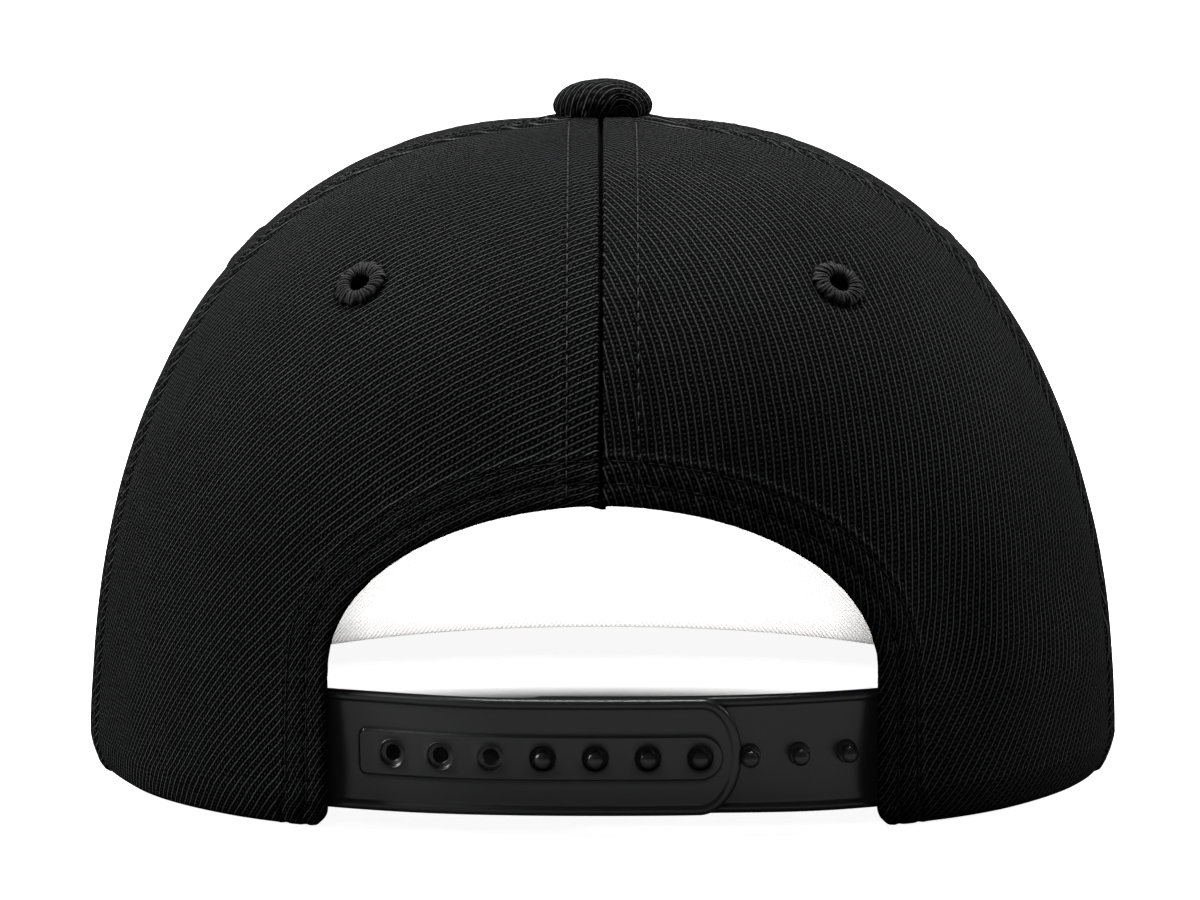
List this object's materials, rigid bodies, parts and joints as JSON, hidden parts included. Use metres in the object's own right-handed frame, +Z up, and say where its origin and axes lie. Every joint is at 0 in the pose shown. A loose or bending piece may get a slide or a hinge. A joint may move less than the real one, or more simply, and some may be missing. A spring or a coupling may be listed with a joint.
{
  "type": "snapback cap",
  "caption": "Snapback cap with a flat peak, a top button, stitched eyelets and an arched back opening over a plastic snap strap.",
  "frame": {"origin": "middle of the whole cap's box, on the surface that the cap rests on", "axes": "+Z up through the crown, +Y towards the front of the peak, +X to the wearer's right"},
  "size_m": [0.18, 0.2638, 0.1157],
  "materials": {
    "twill": "black cotton twill",
    "thread": "black embroidery thread",
    "strap_plastic": "dark grey satin plastic",
    "sweatband_cloth": "off-white cotton"
  },
  "bodies": {
    "root": {"back_left_panel": "twill", "back_right_panel": "twill", "side_left_panel": "twill", "side_right_panel": "twill", "front_left_panel": "twill", "front_right_panel": "twill", "top_button": "twill", "peak": "twill", "sweatband": "sweatband_cloth", "hole_strap": "strap_plastic", "stud_strap": "strap_plastic", "eyelet_back_left": "thread", "eyelet_back_right": "thread", "eyelet_side_left": "thread", "eyelet_side_right": "thread", "eyelet_front_left": "thread", "eyelet_front_right": "thread"}
  },
  "joints": []
}
